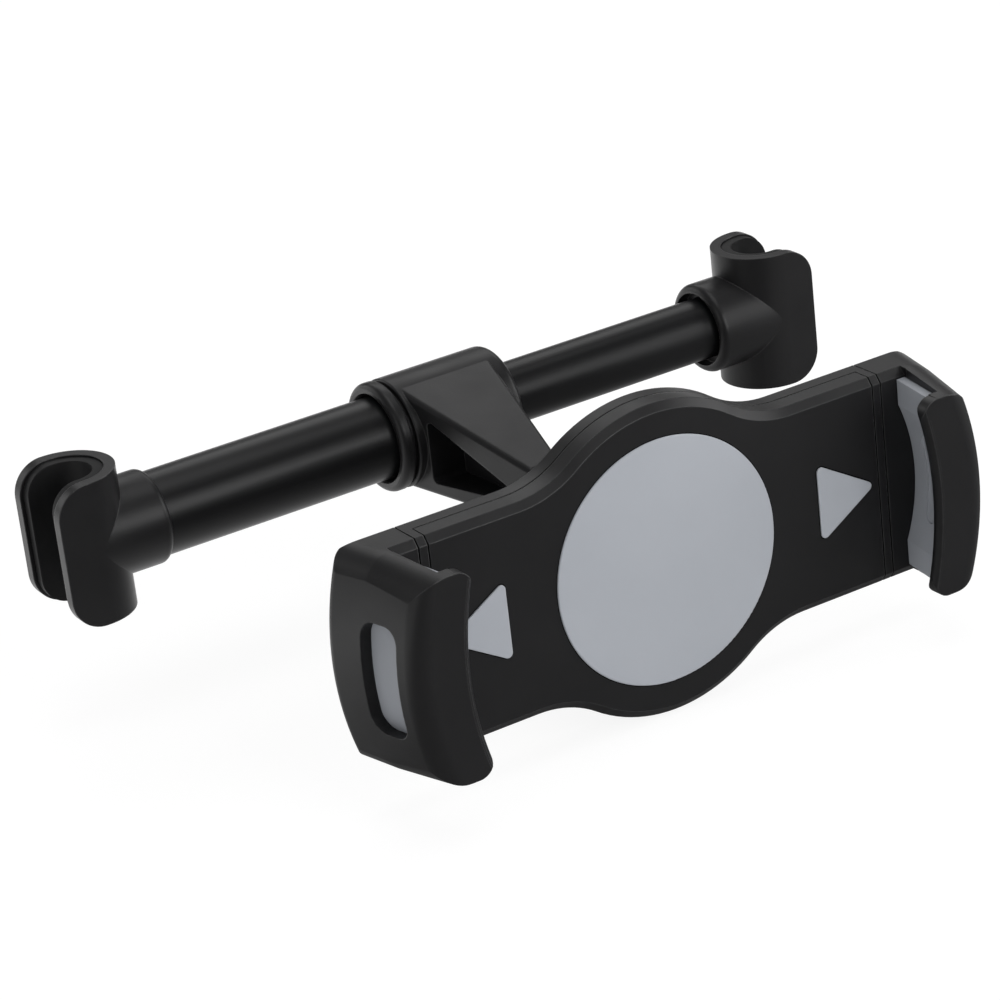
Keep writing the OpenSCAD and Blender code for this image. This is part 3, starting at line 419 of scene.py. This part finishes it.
round_centre, round_radius, _ = middle("round_pad")
gap_line("round_pad_gap", [(round_centre, round_radius)], ROUND_GAP)
for side, pad in ((-1, "left_triangle_pad"), (1, "right_triangle_pad")):
    centre, half_x, half_z = middle(pad)
    base_x = centre.x - side * (half_x - TRIANGLE_CORNER_R)
    tip_x = centre.x + side * (half_x - TRIANGLE_CORNER_R)
    gap_line(pad + "_gap", [
        (Vector((base_x, centre.y + half_z - TRIANGLE_CORNER_R)), TRIANGLE_CORNER_R),
        (Vector((base_x, centre.y - half_z + TRIANGLE_CORNER_R)), TRIANGLE_CORNER_R),
        (Vector((tip_x, centre.y)), TRIANGLE_CORNER_R),
    ], TRIANGLE_GAP)

# ---------------------------------------------------------------- floor and world
# Gloss, metal and glass see a sweep on the floor that is bright behind the object and dim in
# front of it, in a room that is dimmer in front too. The camera sees white all round.
FLOOR_BELOW = 0.0006                        # how far the floor lies under the part at rest
FLOOR_HALF = 6
FLOOR_Z = CAD_BOX[0][2] - FLOOR_BELOW
FLOOR_WHITE, FLOOR_WHITE_SHARE = 1.1, 0.80  # the rest of the floor is lit, and keeps the shadow
SWEEP_FRONT, SWEEP_BACK = 0.20, 1.3
SWEEP_BAND, SWEEP_SLANT = (-0.05, 0.08), 0.5    # the band of Y - SLANT * X where it brightens
ROOM_FRONT, ROOM_BACK = 0.04, 0.20
ROOM_BAND = (-0.3, 0.8)                     # Y of a ray's direction where the room brightens
ROOM_LIGHT = 0.22
WHITE = 1.0


def pale_floor(name):
    m = Material(name)
    place = m.coords()
    m.surface({
        "Base Color": m.mix(m.noise(place, scale=3.0), (0.92, 0.92, 0.92), (0.94, 0.94, 0.94)),
        "Roughness": 0.9,
        "Normal": m.bump(m.noise(place, scale=60.0), strength=0.02, height=0.0005),
        "Specular IOR Level": 0.1,
    })
    camera_ray, mirrored_ray = m.rays()
    axes = m.add("ShaderNodeSeparateXYZ", {0: place}).outputs
    behind = m.math("SUBTRACT", axes["Y"], m.math("MULTIPLY", axes["X"], SWEEP_SLANT))
    brightness = m.ramp(behind, SWEEP_BAND, (SWEEP_FRONT, SWEEP_BACK))
    sweep = m.shader("ShaderNodeEmission", {"Strength": brightness})
    white = m.shader("ShaderNodeEmission", {"Strength": FLOOR_WHITE})
    share = m.math("MULTIPLY", camera_ray, FLOOR_WHITE_SHARE)
    seen = m.mix_shader(share, m.bsdf.outputs[0], white)
    shown = m.mix_shader(mirrored_ray, seen, sweep)
    m.feed(m.tree.nodes["Material Output"].inputs["Surface"], shown)
    return m.mat


def studio(name):
    world = bpy.data.worlds.new(name)
    world.use_nodes = True
    world.node_tree.nodes.clear()
    w = Nodes(world.node_tree)

    def background(strength):
        return w.shader("ShaderNodeBackground", {"Color": (1, 1, 1, 1), "Strength": strength})

    camera_ray, mirrored_ray = w.rays()
    towards = w.add("ShaderNodeTexCoord").outputs["Generated"]
    axes = w.add("ShaderNodeSeparateXYZ", {0: towards}).outputs
    room = background(w.ramp(axes["Y"], ROOM_BAND, (ROOM_FRONT, ROOM_BACK)))
    unseen = w.mix_shader(mirrored_ray, background(ROOM_LIGHT), room)
    w.add("ShaderNodeOutputWorld", {0: w.mix_shader(camera_ray, unseen, background(WHITE))})
    return world


floor_mesh = bpy.data.meshes.new("floor")
corners = [(FLOOR_HALF * x, FLOOR_HALF * y, 0) for x, y in ((-1, -1), (1, -1), (1, 1), (-1, 1))]
floor_mesh.from_pydata(corners, [], [(0, 1, 2, 3)])
floor_mesh.materials.append(pale_floor("pale_floor"))
floor = new_object("floor", floor_mesh)
floor.location = (0, 0, FLOOR_Z)
scene.world = studio("studio")

# ---------------------------------------------------------------- lamps
SOFTBOXES = (   # name, place, the point that it faces, width, height, watts
    ("top_box", (0.05, -0.10, 1.2), (0, -0.05, 0), 1.0, 0.8, 4.2),
    ("top_back_box", (0.55, 0.85, 0.85), (0, 0.0, 0), 1.2, 0.5, 3.0),
    ("right_box", (1.15, -0.65, 0.35), (0, -0.06, 0), 0.7, 0.9, 7.4),
    ("front_box", (0.3, -1.3, 0.5), (0, -0.06, 0), 0.8, 0.8, 7.7),
    ("back_box", (-0.7, 1.25, 0.5), (0, -0.05, 0), 0.9, 0.7, 3.0),
    ("left_box", (-1.25, -0.5, 0.45), (0, -0.08, 0), 0.8, 0.8, 2.2),
)
for name, place, target, width, height, watts in SOFTBOXES:
    lamp = bpy.data.lights.new(name, "AREA")
    lamp.shape = "RECTANGLE"
    lamp.size = width
    lamp.size_y = height
    lamp.energy = watts
    box = new_object(name, lamp)
    box.location = place
    box.rotation_euler = (Vector(target) - Vector(place)).to_track_quat("-Z", "Y").to_euler()
